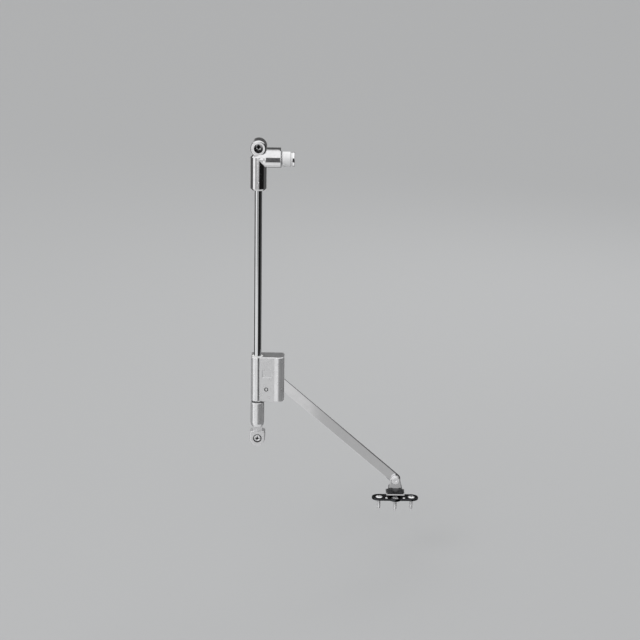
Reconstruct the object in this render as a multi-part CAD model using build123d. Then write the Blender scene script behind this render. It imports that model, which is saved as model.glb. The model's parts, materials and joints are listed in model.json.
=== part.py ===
from build123d import *
import math
import os

# Lid stay for a drop-down flap, fixed upright on the inside of a cabinet's right-hand side panel.
# A slider with a built-in brake runs on a fixed round rod. An arm joins the slider to a bracket on
# the flap. The upper bracket also carries a magnetic catch that meets the closed flap.
#
# Frame, in millimetres: X to the cabinet's front, Y into the side panel, Z up. The side panel's
# face is Y = 0, and the origin is the axis of the lower fixing hole on that face.
# The part is modelled with the flap open: the slider stands on its lower stop.

# ---------------------------------------------------------------- driving dimensions

# Fixing points
HOLE_DISTANCE = 288.0        # lower to upper fixing hole
SCREW_D = 4.0                # across the fixing screw's thread
SCREW_NECK_D = 3.4           # plain neck of the screw inside its bracket
SCREW_TIP = 3.0              # tapered end
SCREW_TIP_D = 1.0
SCREW_SINK = 0.4             # head below the lower eye's face
SCREW_HEAD_D = 6.6
SCREW_HEAD_T = 2.2
SCREW_HEAD_ROUNDING = 0.7
SCREW_RECESS = 4.4           # across the driver cross
SCREW_RECESS_DEPTH = 1.5
SCREW_REACH = 13.0           # how far the screw stands out behind the mounting face
SCREW_HOLE_GAP = 0.25        # radial gap round a fixing screw in its bracket
HEAD_POCKET_GAP = 0.95       # radial gap round a screw head in its counterbore

# Rod
ROD_D = 7.0
ROD_OFFSET = 13.0            # rod axis to mounting face
ROD_GRIP = 18.0              # how far the rod goes into each bracket
ROD_CHAMFER = 0.5
ROD_SEAT_GAP = 0.03          # radial gap of the rod in its two sleeves
ROD_END_GAP = 0.2            # between each end of the rod and the bottom of its bore
CROSS_PIN_D = 2.0
CROSS_PIN_HEIGHT = 8.0       # above the upper sleeve's lower end
CROSS_PIN_SETBACK = 0.5      # each end below the sleeve's surface
CROSS_PIN_CHAMFER = 0.25

# Upper bracket
UPPER_EYE_D = 15.0
UPPER_EYE_FORWARD = 6.0      # eye's face in front of the rod axis
EYE_ROUNDING = 1.5
UPPER_SLEEVE_D = 15.0
SLEEVE_BOTTOM_DROP = 39.5    # sleeve's lower end below the upper fixing hole
SLEEVE_TOP_DROP = 7.0        # sleeve's upper end below the upper fixing hole
SLEEVE_CHAMFER = 1.6
BARREL_D = 16.0
BARREL_DROP = 10.3           # catch axis below the upper fixing hole
BARREL_START = 5.8           # where the barrel has its full width
BARREL_TAPER = 1.2           # from the sleeve's width to the barrel's
BARREL_END = 21.2
BARREL_CHAMFER = 0.6
LABEL_START = 6.9            # bare sunk panel on the barrel's front
LABEL_END = 20.2
LABEL_UP = 17.0              # degrees above and below the barrel's front line
LABEL_DOWN = 13.0
LABEL_SINK = 0.3
WEB_WIDTH = 8.0
WEB_RISE = 8.6               # flat web top above the catch axis
WEB_ROUNDING = 1.0

# Magnetic catch
STUB_D = 14.0
STUB_START = 22.2
STUB_END = 29.8
STUB_ROUNDING = 0.6
SPIGOT_D = 10.0
SPIGOT_LENGTH = 13.0
SPIGOT_GAP = 0.06            # radial running gap of the spigot in the barrel
SPIGOT_RUN = 2.0             # free depth behind the spigot
SPIGOT_CHAMFER = 0.8
NECK_D = 11.4
NECK_LENGTH = 1.8
POLE_D = 13.4
POLE_HEAD = 2.0              # how far the pole heads reach along X
POLE_CHAMFER = 0.3
MAGNET_THICK = 3.8
MAGNET_WIDTH = 9.0
MAGNET_SETBACK = 0.4
MAGNET_CHAMFER = 0.25
POLE_STEM_THICK = 1.4
POLE_STEM_LENGTH = 6.0
POCKET_GAP = 0.05

# Lower bracket
LOWER_EYE_D = 15.0
LOWER_EYE_DEPTH = 10.0
LOWER_EYE_ROUNDING = 0.8
SHOULDER_RISE = 7.4          # square shoulders above the lower fixing hole
SHOULDER_R = 2.0
LOWER_SLEEVE_D = 13.2
LOWER_SLEEVE_BOTTOM = 12.5
LOWER_SLEEVE_TOP = 39.5
LOWER_SLEEVE_CHAMFER = 0.5
NECK_WIDTH = 9.0
NECK_TOP_DROP = 4.0          # neck's upper end below the sleeve's upper end
FOOT_SETBACK = 2.5           # foot's face behind the lower eye's face

# Stop buffer
BUFFER_T = 1.0
BUFFER_D = 12.0
BUFFER_GAP = 0.3             # radial gap to the rod
STOP_GAP = 0.3               # between the buffer and the slider at rest

# Slider
SLIDER_HEIGHT = 45.0
SLIDER_LEFT_R = 6.4          # half-round column in line with the rod
SLIDER_RIGHT = 25.8
SLIDER_BACK = 0.8            # clearance between the slider and the side panel
COLUMN_END = 0.3             # right-hand edge of the column
PANEL_START = 1.9
CHEEK_WIDTH = 9.4
PANEL_FORWARD = 5.2          # flat front panel in front of the rod axis
CHEEK_RISE = 0.7             # raised right-hand cheek in front of the panel
CHEEK_RAMP = 3.3             # slope that climbs from the panel to the cheek
CHEEK_FLAT = 0.3             # least flat part between the slope and the rounded corner
CORNER_R = 5.8
BACK_CORNER_R = 3.0
SLIDER_ROUNDING = 0.7
GROOVE_DEPTH = 0.4
GROOVE_CHAMFER = 0.4
PAD_X = 9.3                  # middle of the bare sunk square
PAD_WIDTH = 9.6
PAD_HEIGHT = 8.2
PAD_SINK = 0.4
PAD_SLOPE = 45.0             # degrees, the square's four walls
COVER_T = 1.4
COVER_INSET = 1.6
COVER_GAP = 0.1
COVER_ROUNDING = 1.0
POCKET_WALL = 1.6            # round the two hollows behind the arm's slot
POCKET_START = 2.0             # each hollow's left side, from the arm pivot's axis
POCKET_RIGHT_WALL = 6.0
POCKET_END_WALL = 4.0
POCKET_PIN_ROOM = 7.0        # from the arm pivot to each hollow
BUSH_WALL = 1.1
BUSH_FLANGE = 0.7            # flange's edge beyond the bush
BUSH_FLANGE_T = 0.8
BUSH_STANDOFF = 0.2          # flange beyond the housing's end
BUSH_CHAMFER = 0.15
BUSH_LENGTH = 6.8
BUSH_RUN_GAP = 0.05          # radial running gap on the rod
BUSH_SEAT_GAP = 0.02
TUNNEL_GAP = 0.35            # radial gap of the housing round the rod between the bushes

# Arm
ARM_LENGTH = 168.0           # pivot to pivot
ARM_ANGLE = 40.9             # below horizontal, flap open
ARM_WIDTH = 9.6
ARM_T = 3.0
ARM_SETBACK = 1.0            # arm's front face behind the rod axis
ARM_EDGE = 0.35
PIVOT_X = 10.0
PIVOT_DROP = 16.5            # arm pivot below the slider's upper end
PIVOT_D = 4.0
PIVOT_GAP = 0.05
PIN_GRIP = 3.6               # pin hole's depth in front of the arm's slot
PIN_END_GAP = 0.2
PIN_CHAMFER = 0.4
ARM_SIDE_GAP = 0.4           # between the arm and each side of its slot
ARM_END_GAP = 0.45           # between the arm's rounded end and its slot
ARM_UP = 10.0                # swing above the open position
ARM_DOWN = 46.5              # swing to the closed position
SLOT_MARGIN = 1.5            # degrees of slot beyond the arm's upper limit
WASHER_D = 9.0
WASHER_SLACK = 0.1

# Brake
BRAKE_SCREW_X = 8.6
BRAKE_SCREW_RISE = 12.5      # above the slider's lower end
BRAKE_SCREW_D = 4.0
BRAKE_SCREW_SINK = 0.3       # below the panel's face
BRAKE_SCREW_CHAMFER = 0.8
BRAKE_SLOT_WIDTH = 0.5
BRAKE_SLOT_DEPTH = 0.7
BRAKE_FLOOR = 0.6            # between the screw's hole and the arm's slot
SHOE_HEIGHT = 10.0
SHOE_DEPTH = 3.0
SHOE_FLOOR = 0.9             # between the shoe and the arm's slot
SHOE_GAP = 0.04
SHOE_ROOM = 0.1              # between the shoe and its pocket

# Flap bracket
LUG_T = 3.2
LUG_HEAD_D = 9.0
LUG_FOOT_WIDTH = 12.4
LUG_FOOT_DROP = 8.0          # pivot to the top of the clip housing
LUG_TONGUE_WIDTH = 7.0
LUG_CHAMFER = 0.4
LUG_WASHER_T = 0.4
RIVET_D = 5.0
RIVET_HEAD_D = 7.4
RIVET_HEAD_T = 1.2
RIVET_ROUNDING = 0.5
RIVET_DIMPLE_D = 2.4
RIVET_DIMPLE_DEPTH = 0.8
RIVET_TAIL_D = 8.0
CLIP_TOP_WIDTH = 12.8
CLIP_FOOT_WIDTH = 15.6
CLIP_DEPTH = 10.0
CLIP_STEP = 1.2              # shoulder on each flank of the clip housing
CLIP_STEP_RISE = 1.4
CLIP_LEDGE = 1.2             # floor in front of the knuckle's tongue
CLIP_CHAMFER = 0.8
TRAY_T = 1.0
TRAY_SIDE_GAP = 0.2          # clip housing to each upturned end
TRAY_LIP = 1.6               # upturned ends, above the tray's floor
TRAY_OVERHANG = 0.8          # tray in front of the clip housing
TRAY_ROUNDING = 0.45
SADDLE_WIDTH = 13.0
SADDLE_DEPTH = 5.2
SADDLE_RISE = 3.2
FLAP_DROP = 20.0             # knuckle pivot to the flap's face
PLATE_LENGTH = 46.0
PLATE_DEPTH = 13.6
PLATE_T = 1.8
PLATE_FORWARD = 0.8          # middle of the plate in front of the arm's front face
PLATE_ROUNDING = 0.5
PLATE_SCREW_SPACING = 32.0
PLATE_SCREW_D = 3.4
PLATE_SCREW_NECK_D = 2.8
PLATE_SCREW_HEAD_D = 6.6
PLATE_SCREW_DOME = 0.9       # head's domed top above the plate
PLATE_SCREW_REACH = 12.0     # how far each screw stands out under the plate
PLATE_SCREW_GAP = 0.2
PLATE_RECESS = 3.6           # across the driver cross
PLATE_RECESS_DEPTH = 1.2
OUTER_SCREW_OFFSET = 0.8     # from the plate's middle line towards the cabinet's inside
MIDDLE_SCREW_OFFSET = 2.9
DISH_D = 12.8                # raised ring round the middle screw
DISH_RISE = 0.9
DISH_WALL = 1.5
SADDLE_RIVET_D = 1.6
SADDLE_RIVET_HEAD_D = 2.8
SADDLE_RIVET_HEAD_T = 0.7
SADDLE_RIVET_OFFSET = 8.5    # along the plate, from the knuckle
SADDLE_RIVET_FORWARD = 3.7   # from the plate's middle line
SADDLE_RIVET_FLOOR = 0.4     # plate left under the rivet's shank
FACE_GAP = 0.02              # between faces that touch
OVERRUN = 1.0                # how far a cutter passes the face that it starts from

# ---------------------------------------------------------------- places worked out from them

BACK = Vector(0, 1, 0)
FRONT = Vector(0, -1, 0)
UP = Vector(0, 0, 1)
DOWN = Vector(0, 0, -1)
RIGHT = Vector(1, 0, 0)
LEFT = Vector(-1, 0, 0)

UPPER_EYE_DEPTH = ROD_OFFSET + UPPER_EYE_FORWARD
UPPER_SLEEVE_BOTTOM = HOLE_DISTANCE - SLEEVE_BOTTOM_DROP
UPPER_SLEEVE_TOP = HOLE_DISTANCE - SLEEVE_TOP_DROP
BARREL_HEIGHT = HOLE_DISTANCE - BARREL_DROP
SLIDER_BOTTOM = LOWER_SLEEVE_TOP + BUFFER_T + STOP_GAP + BUSH_STANDOFF
SLIDER_TOP = SLIDER_BOTTOM + SLIDER_HEIGHT
PANEL_END = SLIDER_RIGHT - CHEEK_WIDTH
PANEL_DEPTH = ROD_OFFSET + PANEL_FORWARD
CHEEK_DEPTH = PANEL_DEPTH + CHEEK_RISE
BUSH_D = ROD_D + 2 * BUSH_WALL
BUSH_FLANGE_D = BUSH_D + 2 * BUSH_FLANGE
ROD_BOTTOM = LOWER_SLEEVE_TOP - ROD_GRIP
ROD_TOP = UPPER_SLEEVE_BOTTOM + ROD_GRIP
PIVOT_Z = SLIDER_TOP - PIVOT_DROP
ARM_DEPTH = ROD_OFFSET - ARM_SETBACK
ARM_DX = ARM_LENGTH * math.cos(math.radians(ARM_ANGLE))
ARM_DZ = ARM_LENGTH * math.sin(math.radians(ARM_ANGLE))
KNUCKLE_X = PIVOT_X + ARM_DX
KNUCKLE_Z = PIVOT_Z - ARM_DZ
ARM_BACK = ARM_DEPTH - ARM_T
LUG_BACK = ARM_DEPTH + LUG_WASHER_T + 2 * FACE_GAP
LUG_FRONT = LUG_BACK + LUG_T
FLAP_Z = KNUCKLE_Z - FLAP_DROP
PLATE_TOP = FLAP_Z + PLATE_T
PLATE_CENTRE_DEPTH = ARM_DEPTH + PLATE_FORWARD
CLIP_TOP = KNUCKLE_Z - LUG_FOOT_DROP
TRAY_BOTTOM = PLATE_TOP + SADDLE_RISE
TRAY_WIDTH = CLIP_FOOT_WIDTH + 2 * (TRAY_T + TRAY_SIDE_GAP)
CLIP_BOTTOM = TRAY_BOTTOM + TRAY_T
CLIP_FRONT = LUG_FRONT + CLIP_LEDGE
SLOT_FRONT = ARM_DEPTH + ARM_SIDE_GAP
SLOT_BACK = ARM_BACK - ARM_SIDE_GAP


def rod_of(diameter, start, direction, length):
    """A round bar from a start point along a direction."""
    return Plane(origin=start, z_dir=direction) * Cylinder(
        diameter / 2, length, align=(Align.CENTER, Align.CENTER, Align.MIN))


def cone_of(start_d, end_d, start, direction, length):
    """A round taper from a start point along a direction."""
    return Plane(origin=start, z_dir=direction) * Cone(
        start_d / 2, end_d / 2, length, align=(Align.CENTER, Align.CENTER, Align.MIN))


def block(x0, x1, depth0, depth1, z0, z1):
    """A box between two X, two distances from the mounting face and two heights."""
    return Pos(x0, -depth1, z0) * Box(
        x1 - x0, depth1 - depth0, z1 - z0, align=(Align.MIN, Align.MIN, Align.MIN))


def upright_plate(outline, depth0, depth1):
    """A face drawn in X and Z, thickened between two distances from the mounting face."""
    face = Plane(origin=(0, -depth0, 0), x_dir=RIGHT, z_dir=FRONT) * outline
    return extrude(face, amount=depth1 - depth0, dir=FRONT)


def edges_at(shape, axis, value):
    """The edges that lie wholly at one place along an axis."""
    return shape.edges().filter_by_position(axis, value - 0.01, value + 0.01)


def cross_recess(head_face, direction, size, depth):
    """A cross-shaped driver recess, tapered towards its bottom."""
    recess = cone_of(size * 0.55, size * 0.2, head_face, direction, depth)
    for turn in (0, 90):
        blade = Plane(origin=head_face, z_dir=direction) * Rot(0, 0, turn) * Box(
            size, size * 0.2, depth * 1.4, align=(Align.CENTER, Align.CENTER, Align.CENTER))
        recess = recess + blade
    return recess


def screw_shank(thread_d, neck_d, head_end, face_point, direction, reach):
    """A plain neck up to the mounting face, then the thread's outside, then a taper."""
    neck = rod_of(neck_d, head_end, direction, (face_point - head_end).length)
    thread = rod_of(thread_d, face_point, direction, reach - SCREW_TIP)
    tip_start = face_point + direction * (reach - SCREW_TIP)
    return neck + thread + cone_of(thread_d, SCREW_TIP_D, tip_start, direction, SCREW_TIP)


def fixing_screw(height):
    """A pan-head screw along +Y whose head is as deep as the lower bracket's face."""
    head_front = Vector(0, -(LOWER_EYE_DEPTH - SCREW_SINK), height)
    head = rod_of(SCREW_HEAD_D, head_front, BACK, SCREW_HEAD_T)
    head = fillet(edges_at(head, Axis.Y, head_front.Y), SCREW_HEAD_ROUNDING)
    face_point = Vector(0, 0, height)
    shank = screw_shank(SCREW_D, SCREW_NECK_D, head_front, face_point, BACK, SCREW_REACH)
    return head + shank - cross_recess(head_front, BACK, SCREW_RECESS, SCREW_RECESS_DEPTH)


def screw_hole(height, eye_depth):
    """The stepped hole that a fixing screw needs, from the front of its eye to the panel."""
    seat = LOWER_EYE_DEPTH - SCREW_SINK - SCREW_HEAD_T
    pocket_d = SCREW_HEAD_D + 2 * HEAD_POCKET_GAP
    start = Vector(0, -eye_depth - OVERRUN, height)
    pocket = rod_of(pocket_d, start, BACK, eye_depth + OVERRUN - seat)
    hole = rod_of(SCREW_D + 2 * SCREW_HOLE_GAP, start, BACK, eye_depth + 2 * OVERRUN)
    return pocket + hole


def rod_axis(height):
    return Vector(0, -ROD_OFFSET, height)


# ---------------------------------------------------------------- rod and its brackets

def make_rod():
    rod = rod_of(ROD_D, rod_axis(ROD_BOTTOM), UP, ROD_TOP - ROD_BOTTOM)
    rod = chamfer(edges_at(rod, Axis.Z, ROD_BOTTOM) + edges_at(rod, Axis.Z, ROD_TOP), ROD_CHAMFER)
    return rod - cross_pin_bar(UPPER_SLEEVE_D + 2 * OVERRUN)


def cross_pin_bar(length):
    """A bar across the rod and the upper sleeve, centred on the rod: the pin, or its hole."""
    start = rod_axis(UPPER_SLEEVE_BOTTOM + CROSS_PIN_HEIGHT) + FRONT * (length / 2)
    return rod_of(CROSS_PIN_D, start, BACK, length)


def make_cross_pin():
    length = UPPER_SLEEVE_D - 2 * CROSS_PIN_SETBACK
    pin = cross_pin_bar(length)
    ends = (edges_at(pin, Axis.Y, -ROD_OFFSET - length / 2)
            + edges_at(pin, Axis.Y, -ROD_OFFSET + length / 2))
    return chamfer(ends, CROSS_PIN_CHAMFER)


def label_cut():
    """The shallow curved panel sunk into the barrel's front, left bare."""
    up, down = math.radians(LABEL_UP), math.radians(LABEL_DOWN)
    wedge = make_face(Polyline(
        (0, 0), (BARREL_D * math.cos(down), -BARREL_D * math.sin(down)),
        (BARREL_D * math.cos(up), BARREL_D * math.sin(up)), close=True))
    band = (Circle(BARREL_D / 2 + OVERRUN) - Circle(BARREL_D / 2 - LABEL_SINK)) & wedge
    plane = Plane(origin=(LABEL_END, -ROD_OFFSET, BARREL_HEIGHT), x_dir=FRONT, z_dir=LEFT)
    return extrude(plane * band, amount=LABEL_END - LABEL_START)


def make_upper_bracket():
    eye = rod_of(UPPER_EYE_D, Vector(0, 0, HOLE_DISTANCE), FRONT, UPPER_EYE_DEPTH)
    ring_wall = (UPPER_EYE_D - SCREW_HEAD_D) / 2 - HEAD_POCKET_GAP
    eye = fillet(edges_at(eye, Axis.Y, -UPPER_EYE_DEPTH), min(EYE_ROUNDING, ring_wall - FACE_GAP))
    sleeve = rod_of(UPPER_SLEEVE_D, rod_axis(UPPER_SLEEVE_BOTTOM), UP,
                    UPPER_SLEEVE_TOP - UPPER_SLEEVE_BOTTOM)
    sleeve_ends = (edges_at(sleeve, Axis.Z, UPPER_SLEEVE_BOTTOM)
                   + edges_at(sleeve, Axis.Z, UPPER_SLEEVE_TOP))
    sleeve = chamfer(sleeve_ends, SLEEVE_CHAMFER)
    neck = block(-WEB_WIDTH / 2, WEB_WIDTH / 2, 0, ROD_OFFSET,
                 UPPER_SLEEVE_BOTTOM + ROD_GRIP, HOLE_DISTANCE)
    barrel_axis = rod_axis(BARREL_HEIGHT)
    taper_start = BARREL_START - BARREL_TAPER
    tee = rod_of(UPPER_SLEEVE_D, barrel_axis, RIGHT, taper_start)
    tee = tee + cone_of(UPPER_SLEEVE_D, BARREL_D, barrel_axis + RIGHT * taper_start, RIGHT, BARREL_TAPER)
    barrel = rod_of(BARREL_D, barrel_axis + RIGHT * BARREL_START, RIGHT, BARREL_END - BARREL_START)
    barrel = chamfer(edges_at(barrel, Axis.X, BARREL_END), BARREL_CHAMFER)
    web = block(0, BARREL_END - BARREL_CHAMFER, 0, ROD_OFFSET,
                BARREL_HEIGHT - BARREL_D / 4, BARREL_HEIGHT + WEB_RISE)
    web = fillet(web.edges().filter_by(Axis.Z).group_by(Axis.X)[-1], WEB_ROUNDING)
    bracket = eye + sleeve + neck + tee + barrel + web
    rod_bore = rod_of(ROD_D + 2 * ROD_SEAT_GAP, rod_axis(UPPER_SLEEVE_BOTTOM - OVERRUN), UP,
                      ROD_GRIP + OVERRUN + ROD_END_GAP)
    bore_mouth = BARREL_END + OVERRUN
    bore_end = STUB_START - SPIGOT_LENGTH - SPIGOT_RUN
    spigot_bore = rod_of(SPIGOT_D + 2 * SPIGOT_GAP, barrel_axis + RIGHT * bore_mouth, LEFT,
                         bore_mouth - bore_end)
    pin_hole = cross_pin_bar(UPPER_SLEEVE_D + 2 * OVERRUN)
    bracket = bracket - rod_bore - spigot_bore - pin_hole - label_cut()
    return bracket - screw_hole(HOLE_DISTANCE, UPPER_EYE_DEPTH)


def make_lower_bracket():
    shoulders = Rectangle(LOWER_EYE_D, SHOULDER_RISE, align=(Align.CENTER, Align.MIN))
    shoulders = fillet(shoulders.vertices().group_by(Axis.Y)[-1], SHOULDER_R)
    eye = upright_plate(Circle(LOWER_EYE_D / 2) + shoulders, 0, LOWER_EYE_DEPTH)
    eye = fillet(edges_at(eye, Axis.Y, -LOWER_EYE_DEPTH), LOWER_EYE_ROUNDING)
    radius = LOWER_SLEEVE_D / 2
    sleeve = rod_of(LOWER_SLEEVE_D, rod_axis(LOWER_SLEEVE_BOTTOM + radius), UP,
                    LOWER_SLEEVE_TOP - LOWER_SLEEVE_BOTTOM - radius)
    sleeve = chamfer(edges_at(sleeve, Axis.Z, LOWER_SLEEVE_TOP), LOWER_SLEEVE_CHAMFER)
    nose = Pos(*rod_axis(LOWER_SLEEVE_BOTTOM + radius)) * Sphere(radius)
    neck = block(-NECK_WIDTH / 2, NECK_WIDTH / 2, 0, ROD_OFFSET, LOWER_SLEEVE_BOTTOM + radius,
                 LOWER_SLEEVE_TOP - NECK_TOP_DROP)
    foot = block(-NECK_WIDTH / 2, NECK_WIDTH / 2, 0, LOWER_EYE_DEPTH - FOOT_SETBACK, 0,
                 LOWER_SLEEVE_BOTTOM + radius + OVERRUN)
    bracket = eye + sleeve + nose + neck + foot
    rod_bore = rod_of(ROD_D + 2 * ROD_SEAT_GAP, rod_axis(ROD_BOTTOM - ROD_END_GAP), UP,
                      ROD_GRIP + ROD_END_GAP + OVERRUN)
    return bracket - rod_bore - screw_hole(0, LOWER_EYE_DEPTH)


def make_stop_buffer():
    ring = rod_of(BUFFER_D, rod_axis(LOWER_SLEEVE_TOP), UP, BUFFER_T)
    hole = rod_of(ROD_D + 2 * BUFFER_GAP, rod_axis(LOWER_SLEEVE_TOP - OVERRUN), UP,
                  BUFFER_T + 2 * OVERRUN)
    return ring - hole


# ---------------------------------------------------------------- magnetic catch

def catch_place(x):
    return Vector(x, -ROD_OFFSET, BARREL_HEIGHT)


def pocket_box(gap):
    """The room that the magnet and the two pole stems share inside the stub."""
    half_z = MAGNET_THICK / 2 + POLE_STEM_THICK + gap
    half_y = MAGNET_WIDTH / 2 + gap
    return block(STUB_END - POLE_STEM_LENGTH - gap, STUB_END + NECK_LENGTH + OVERRUN,
                 ROD_OFFSET - half_y, ROD_OFFSET + half_y,
                 BARREL_HEIGHT - half_z, BARREL_HEIGHT + half_z)


def make_catch_stub():
    head = rod_of(STUB_D, catch_place(STUB_START), RIGHT, STUB_END - STUB_START)
    head = fillet(edges_at(head, Axis.X, STUB_END) + edges_at(head, Axis.X, STUB_START),
                  STUB_ROUNDING)
    neck = rod_of(NECK_D, catch_place(STUB_END), RIGHT, NECK_LENGTH)
    spigot = rod_of(SPIGOT_D, catch_place(STUB_START), LEFT, SPIGOT_LENGTH)
    spigot = chamfer(edges_at(spigot, Axis.X, STUB_START - SPIGOT_LENGTH), SPIGOT_CHAMFER)
    return head + neck + spigot - pocket_box(POCKET_GAP)


def make_catch_magnet():
    start = STUB_END - POLE_STEM_LENGTH
    end = STUB_END + NECK_LENGTH + POLE_HEAD - MAGNET_SETBACK
    magnet = block(start, end, ROD_OFFSET - MAGNET_WIDTH / 2, ROD_OFFSET + MAGNET_WIDTH / 2,
                   BARREL_HEIGHT - MAGNET_THICK / 2, BARREL_HEIGHT + MAGNET_THICK / 2)
    return chamfer(magnet.edges().group_by(Axis.X)[-1], MAGNET_CHAMFER)


def make_pole_plate(side):
    """One pole plate: a thin stem in the stub and a segment-shaped head. side is +1 or -1."""
    inner = MAGNET_THICK / 2
    head_start = STUB_END + NECK_LENGTH
    disc = rod_of(POLE_D, catch_place(head_start), RIGHT, POLE_HEAD)
    disc = chamfer(edges_at(disc, Axis.X, head_start + POLE_HEAD), POLE_CHAMFER)
    segment_z = sorted((BARREL_HEIGHT + side * inner, BARREL_HEIGHT + side * POLE_D))
    half = block(head_start - OVERRUN, head_start + POLE_HEAD + OVERRUN, ROD_OFFSET - POLE_D,
                 ROD_OFFSET + POLE_D, *segment_z)
    outer = inner + POLE_STEM_THICK
    stem_z = sorted((BARREL_HEIGHT + side * inner, BARREL_HEIGHT + side * outer))
    stem = block(STUB_END - POLE_STEM_LENGTH, head_start + POLE_HEAD / 2,
                 ROD_OFFSET - MAGNET_WIDTH / 2, ROD_OFFSET + MAGNET_WIDTH / 2, *stem_z)
    return (disc & half) + stem


# ---------------------------------------------------------------- slider

def slider_outline():
    """The housing seen from above: a half-round column, a flat panel and a rounded cheek."""
    column = Pos(0, -ROD_OFFSET) * Circle(SLIDER_LEFT_R)
    column = column - Pos(COLUMN_END, -ROD_OFFSET) * Rectangle(
        SLIDER_LEFT_R, 2 * SLIDER_LEFT_R, align=(Align.MIN, Align.CENTER))
    left = Pos(-SLIDER_LEFT_R, -ROD_OFFSET) * Rectangle(
        SLIDER_LEFT_R + COLUMN_END, ROD_OFFSET - SLIDER_BACK, align=(Align.MIN, Align.MIN))
    panel = Pos(0, -PANEL_DEPTH) * Rectangle(
        PANEL_END + OVERRUN, PANEL_DEPTH - SLIDER_BACK, align=(Align.MIN, Align.MIN))
    cheek = make_face(Polyline(
        (PANEL_END, -SLIDER_BACK), (PANEL_END, -PANEL_DEPTH),
        (PANEL_END + CHEEK_RAMP, -CHEEK_DEPTH), (SLIDER_RIGHT, -CHEEK_DEPTH),
        (SLIDER_RIGHT, -SLIDER_BACK), close=True))
    front_corner, back_corner = cheek.vertices().sort_by(Axis.X)[-2:].sort_by(Axis.Y)
    cheek = fillet(front_corner, min(CORNER_R, CHEEK_WIDTH - CHEEK_RAMP - CHEEK_FLAT))
    back_corner = cheek.vertices().filter_by_position(
        Axis.Y, back_corner.Y - FACE_GAP, back_corner.Y + FACE_GAP).sort_by(Axis.X)[-1]
    cheek = fillet(back_corner, BACK_CORNER_R)
    return column + left + panel + cheek


def arm_slot():
    """The room that the arm sweeps through: open to the right and below."""
    upper = math.radians(ARM_ANGLE - ARM_UP - SLOT_MARGIN)
    radius = ARM_WIDTH / 2 + ARM_END_GAP
    right = SLIDER_RIGHT + OVERRUN
    bottom = SLIDER_BOTTOM - OVERRUN
    lift = radius / math.cos(upper) - (right - PIVOT_X) * math.tan(upper)
    tangent = (PIVOT_X + radius * math.sin(upper), PIVOT_Z + radius * math.cos(upper))
    outline = make_face(Polyline(
        (PIVOT_X - radius, PIVOT_Z), tangent, (right, PIVOT_Z + lift), (right, bottom),
        (PIVOT_X - radius, bottom), close=True))
    outline = outline + Pos(PIVOT_X, PIVOT_Z) * Circle(radius)
    return upright_plate(outline, SLOT_BACK, SLOT_FRONT)


def cover_block(gap):
    right = SLIDER_RIGHT - BACK_CORNER_R - COVER_INSET
    return block(-SLIDER_LEFT_R + COVER_INSET - gap, right + gap,
                 SLIDER_BACK - gap, SLIDER_BACK + COVER_T + gap,
                 SLIDER_BOTTOM + COVER_INSET - gap, SLIDER_TOP - COVER_INSET + gap)


def bush_starts():
    """The outer end of each guide bush and the way that it points into the housing."""
    return {"upper": (SLIDER_TOP, DOWN), "lower": (SLIDER_BOTTOM, UP)}


def bush_body(end, gap):
    height, inward = bush_starts()[end]
    start = rod_axis(height) - inward * BUSH_STANDOFF
    flange = rod_of(BUSH_FLANGE_D + 2 * gap, start, inward, BUSH_STANDOFF + BUSH_FLANGE_T + gap)
    return flange + rod_of(BUSH_D + 2 * gap, start, inward, BUSH_STANDOFF + BUSH_LENGTH + gap)


def make_guide_bush(end):
    height, inward = bush_starts()[end]
    bore = rod_of(ROD_D + 2 * BUSH_RUN_GAP, rod_axis(height) - inward * OVERRUN, inward,
                  BUSH_LENGTH + 2 * OVERRUN)
    outer_end = rod_axis(height) - inward * BUSH_STANDOFF
    bush = bush_body(end, 0)
    return chamfer(edges_at(bush, Axis.Z, outer_end.Z), BUSH_CHAMFER) - bore


def brake_screw_place():
    return Vector(BRAKE_SCREW_X, -PANEL_DEPTH, SLIDER_BOTTOM + BRAKE_SCREW_RISE)


def brake_screw_bar(diameter, start_shift):
    """A bar from near the panel's face to the floor in front of the arm's slot."""
    start = brake_screw_place() + BACK * start_shift
    return rod_of(diameter, start, BACK, PANEL_DEPTH - start_shift - SLOT_FRONT - BRAKE_FLOOR)


def make_brake_screw():
    """A short screw, a little below the panel's face, with a driver slot."""
    screw = brake_screw_bar(BRAKE_SCREW_D, BRAKE_SCREW_SINK)
    start = brake_screw_place() + BACK * BRAKE_SCREW_SINK
    screw = chamfer(edges_at(screw, Axis.Y, start.Y), BRAKE_SCREW_CHAMFER)
    slot = Plane(origin=start, z_dir=BACK) * Rectangle(BRAKE_SLOT_WIDTH, BRAKE_SCREW_D)
    return screw - extrude(slot, amount=BRAKE_SLOT_DEPTH)


def shoe_block(gap):
    """The brake shoe's pocket or body, between the rod and the brake screw."""
    middle = SLIDER_BOTTOM + BRAKE_SCREW_RISE
    right = BRAKE_SCREW_X - BRAKE_SCREW_D / 2 - FACE_GAP
    back = SLOT_FRONT + SHOE_FLOOR
    return block(0, right, back - gap, back + SHOE_DEPTH + gap,
                 middle - SHOE_HEIGHT / 2 - gap, middle + SHOE_HEIGHT / 2 + gap)


def make_brake_shoe():
    rod_room = rod_of(ROD_D + 2 * SHOE_GAP, rod_axis(SLIDER_BOTTOM), UP, SLIDER_HEIGHT)
    left_half = block(-SLIDER_LEFT_R, ROD_D / 4, 0, 2 * ROD_OFFSET, SLIDER_BOTTOM, SLIDER_TOP)
    return shoe_block(0) - rod_room - left_half


def lightening_pocket(z0, z1):
    """A hollow behind the arm slot, closed by the back cover."""
    return block(PIVOT_X + POCKET_START, SLIDER_RIGHT - POCKET_RIGHT_WALL,
                 SLIDER_BACK, SLOT_BACK - POCKET_WALL, z0, z1)


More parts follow.
